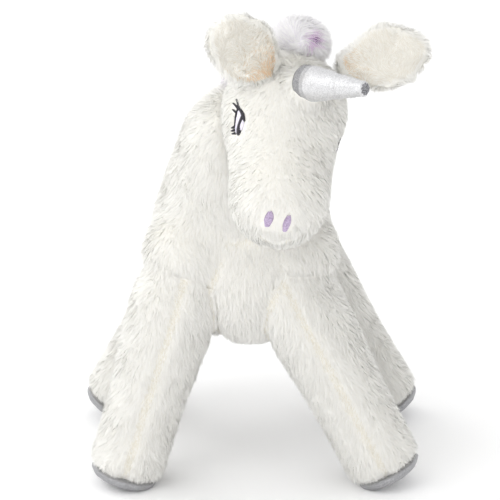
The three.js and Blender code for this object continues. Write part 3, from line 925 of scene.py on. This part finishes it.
def eye_strokes(sign, lines):
    """An eye's strokes on the head: sign is -1 on the left and 1 on the right."""
    drop = EYE_DROP if sign > 0 else 0
    return [[(sign * EYE_SIDE, back, up - drop, half) for back, up, half in line] for line in lines]


EYE_WHITE_LIFT = 0.8
THREAD_LIFT = 1.3
eyes = {}
eye_whites = {}
nostrils = {}
for side, sign in (("left", -1), ("right", 1)):
    whites = eye_strokes(sign, EYE_WHITES)
    eye_whites[side] = satin(f"{side}_eye_white", whites, eye_thread, EYE_WHITE_LIFT)
    eyes[side] = satin(f"{side}_eye_lines", eye_strokes(sign, EYE_LINES), dark_thread, THREAD_LIFT)
    nostrils[side] = satin(f"{side}_nostril_satin", [NOSTRILS[side]], lilac_thread, THREAD_LIFT)
thread_tree = near_tree(thread_points)
mouth_tree = near_tree([on_head(row)[0] for row in smooth_rows(MOUTH, MOUTH_STEP)])


# Pile on every skin.
def bare_inside(skin, trees, depth=-1.0 * MM):
    """Keeps pile off a skin where it lies inside another."""
    for tree in trees:
        skin.bare = np.maximum(skin.bare, (depth_in(tree, skin.points) < depth).astype(float))


def body_pile(name, obj, trees, **settings):
    skin = Skin(obj)
    skin.seam, under = seam_distance(skin.points)
    skin.bare = under.astype(float)
    bare_inside(skin, trees)
    return pile(name, skin, WHITE_TONES, **settings)


TORSO_PER_MM2 = 2.1
torso_fur = body_pile("torso_pile", torso_skin, [whole_tree, head_tree], per_mm2=TORSO_PER_MM2, seed=1)
neck_fur = body_pile("neck_pile", neck_skin, [head_tree], seed=2)
leg_furs = {}
for k, leg in enumerate(LEGS):
    leg_furs[leg] = body_pile(f"{leg}_leg_pile", legs[leg], [], seed=3 + k)

HEAD_PER_MM2 = 2.4
SHORTEST_PILE = 1.2 * MM
THREAD_MARGIN = 0.9 * MM  # bare round the embroidery


def face_length(points):
    """Short round the embroidery, so that no strand lies over it."""
    return np.clip(near_distance(thread_tree, points) + 0.4 * MM, SHORTEST_PILE, FACE_PILE)


# The mouth is a pleat, so the pile by it is trimmed like the pile by a seam and gets the same cream
# painted shade.
face = Skin(head_skin)
face.seam = 1.3 * near_distance(mouth_tree, face.points) + 0.4 * MM
face.bare = (near_distance(thread_tree, face.points) < THREAD_MARGIN).astype(float)
bare_inside(face, [tree_of([horn.data])], 0)
head_fur = pile("head_pile", face, WHITE_TONES, per_mm2=HEAD_PER_MM2, length=face_length, seed=8)

# Ears: white pile outside and round the rim, short cream pile on the lining, with painted tan and peach
# shade towards the fold at its root.
EAR_PILE = 5.5 * MM
LINING_PILE = 3 * MM
LINING_ROOT_SHADE = (8 * MM, 26 * MM)  # how far from the root the lining's painted tan shade turns to cream
# how far from the root the painted peach shade of the fold reaches
LINING_FOLD_SHADE = (6 * MM, 13 * MM)


def ear_piles(side, seed):
    root = hinge(f"{side}_ear_flop")
    axis = hinge_axis(f"{side}_ear_flop")
    skin = Skin(ears[side])
    middle = np.array(ears_middle[side])
    inside = ear_inside[side]
    skin.bare = inside

    def from_root(points):
        return np.linalg.norm(np.cross(points - np.array(root), np.array(axis)), axis=1)

    def outward(points):
        return points - middle

    def lining_tones(points, seam, rng):
        far = from_root(points) + rng.normal(size=len(points)) * 2 * MM
        found = rng.choice(2, len(points), p=(0.6, 0.4))
        # painted shade: tan and then peach strands towards the fold at the root
        ear_root_shade = 1 - smoothstep(*LINING_ROOT_SHADE, far)
        found[rng.random(len(points)) < 0.6 * ear_root_shade] = 2
        found[rng.random(len(points)) < 0.7 * (1 - smoothstep(*LINING_FOLD_SHADE, far))] = 3
        return found

    outer = pile(f"{side}_ear_pile", skin, WHITE_TONES, length=EAR_PILE, flow=outward, seed=seed)
    lining = Skin(ears[side])
    lining.bare = 1 - inside
    inner = pile(
        f"{side}_ear_lining_pile",
        lining,
        LINING_TONES,
        length=LINING_PILE,
        flow=outward,
        tone=lining_tones,
        seed=seed + 20,
    )
    return outer, inner


ear_furs = {side: ear_piles(side, 9 + k) for k, side in enumerate(ears)}

# Forelock: it spreads from a whorl, which is placed along the head's axes.
WHORL = Vector((2.7, 34.1, 33.4)) * MM
WHORL_PINK = (2 * MM, 7 * MM)
WHORL_HEART = 1.4 * MM  # violet inside it
whorl = np.array(head_centre + HEAD_TURN @ WHORL)


def whorl_tones(points, seam, rng):
    far = np.linalg.norm(points - whorl, axis=1) + rng.normal(size=len(points)) * 0.7 * MM
    found = rng.choice(2, len(points), p=(0.8, 0.2))
    found[rng.random(len(points)) < 0.8 * (1 - smoothstep(*WHORL_PINK, far))] = 2
    found[far < WHORL_HEART] = 3
    return found


def pastel_tones(points, seam, rng):
    return rng.choice(3, len(points), p=(0.35, 0.4, 0.25))


forelock_fur = pile(
    "forelock_pile",
    Skin(forelock_skin),
    LILAC_TONES,
    flow=lambda p: p - whorl,
    tone=whorl_tones,
    seed=11,
)
mane_fur = pile("mane_pile", Skin(mane_skin), LILAC_TONES, length=TUFT_PILE, tone=pastel_tones, seed=12)
tail_fur = pile("tail_pile", Skin(tail_skin), LILAC_TONES, length=TUFT_PILE, tone=pastel_tones, seed=13)

# What each piece stands for, and what it moves with.
torso_panels = ["torso_stuffing", "left_side_panel", "right_side_panel", "chest_panel", "belly_panel"]
neck_panels = ["neck_stuffing", "neck_left_panel", "neck_right_panel"]
head_panels = ["head_stuffing", "forehead_gusset", "chin_panel", "left_cheek_panel", "right_cheek_panel"]


def finish_piece(obj, nodes, body=None):
    """Parents a piece to the empty of the body it rides on, and hides the CAD nodes that it stands for.
    """
    if body:
        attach(obj, body)
    if nodes:
        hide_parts(*nodes)


for obj in (neck_skin, neck_fur):
    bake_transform(obj)
finish_piece(torso_skin, torso_panels, "torso")
finish_piece(torso_fur, [], "torso")
finish_piece(neck_skin, neck_panels, None)
finish_piece(neck_fur, [])
finish_piece(head_skin, head_panels, "head")
finish_piece(head_fur, [], "head")
for leg in LEGS:
    nodes = [f"{leg}_leg_stuffing", f"{leg}_leg_outer_panel", f"{leg}_leg_inner_panel"]
    root = hinge(f"{leg}_leg_swing")
    along = (middle_of(f"{leg}_sole") - middle_of(f"{leg}_leg_stuffing")).normalized()
    for obj in (legs[leg], leg_furs[leg]):
        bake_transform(obj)
    finish_piece(legs[leg], nodes, None)
    finish_piece(leg_furs[leg], [])
    finish_piece(soles[leg], [f"{leg}_sole"], f"{leg}_leg")
for side in ears:
    leaves = [f"{side}_ear_outer", f"{side}_ear_lining"]
    finish_piece(ears[side], leaves, f"{side}_ear")
    finish_piece(ear_furs[side][0], [], f"{side}_ear")
    finish_piece(ear_furs[side][1], [], f"{side}_ear")
    finish_piece(eye_whites[side], [], "head")
    finish_piece(eyes[side], [f"{side}_eye"], "head")
    finish_piece(nostrils[side], [f"{side}_nostril"], "head")
finish_piece(forelock_skin, ["forelock"], "head")
finish_piece(forelock_fur, [], "head")
finish_piece(mane_skin, ["mane"], "neck")
finish_piece(mane_fur, [], "neck")
finish_piece(tail_skin, tail_nodes, "tail")
finish_piece(tail_fur, [], "tail")
finish_piece(horn, ["horn_sleeve", "horn_filling"], "horn")
finish_piece(horn_knot, ["horn_tip_knot"], "horn")

# Floor, light and camera.
FLOOR_REACH = 6
shape = bmesh.new()
bmesh.ops.create_grid(shape, x_segments=1, y_segments=1, size=FLOOR_REACH)
floor = new_object("floor", mesh_from("floor", shape))
floor.data.materials.append(material("floor_paper", (0.97, 0.97, 0.97), 0.9))

world = bpy.data.worlds.new("studio")
world.use_nodes = True
world.node_tree.nodes["Background"].inputs["Color"].default_value = (1, 1, 1, 1)
world.node_tree.nodes["Background"].inputs["Strength"].default_value = 1.0
bpy.context.scene.world = world


def soft_light(name, place, target, size, power):
    data = bpy.data.lights.new(name, "AREA")
    data.shape = "DISK"
    data.size = size
    data.energy = power
    light = bpy.data.objects.new(name, data)
    collection.objects.link(light)
    light.location = place
    light.rotation_euler = (Vector(target) - Vector(place)).to_track_quat("-Z", "Y").to_euler()


CENTRE = Vector((0, 0, 0.15))
LEGS_MIDDLE = Vector((0, 0, 0.08))
soft_light("key", (-1.4, -1.1, 1.7), CENTRE, 2.0, 14)
soft_light("rear_left", (-1.5, 0.8, 1.2), CENTRE, 1.6, 9)
soft_light("low_front", (0.2, -1.7, 0.3), LEGS_MIDDLE, 1.0, 2.2)
soft_light("low_right", (1.6, 0.1, 0.4), CENTRE, 1.2, 2)

camera = bpy.data.objects.new("camera", bpy.data.cameras.new("camera"))
collection.objects.link(camera)
CAMERA_HEIGHT = math.radians(20)
CAMERA_REACH = 1.5
LENS = 168.75
LOOK_AT = Vector((-1.1, -4.0, 141)) * MM
camera.data.lens = LENS
camera.data.sensor_width = 36
camera.location = LOOK_AT + CAMERA_REACH * Vector((0, -math.cos(CAMERA_HEIGHT), math.sin(CAMERA_HEIGHT)))
camera.rotation_euler = (math.radians(90) - CAMERA_HEIGHT, 0, 0)
bpy.context.scene.camera = camera
bpy.context.scene.view_settings.view_transform = "Standard"
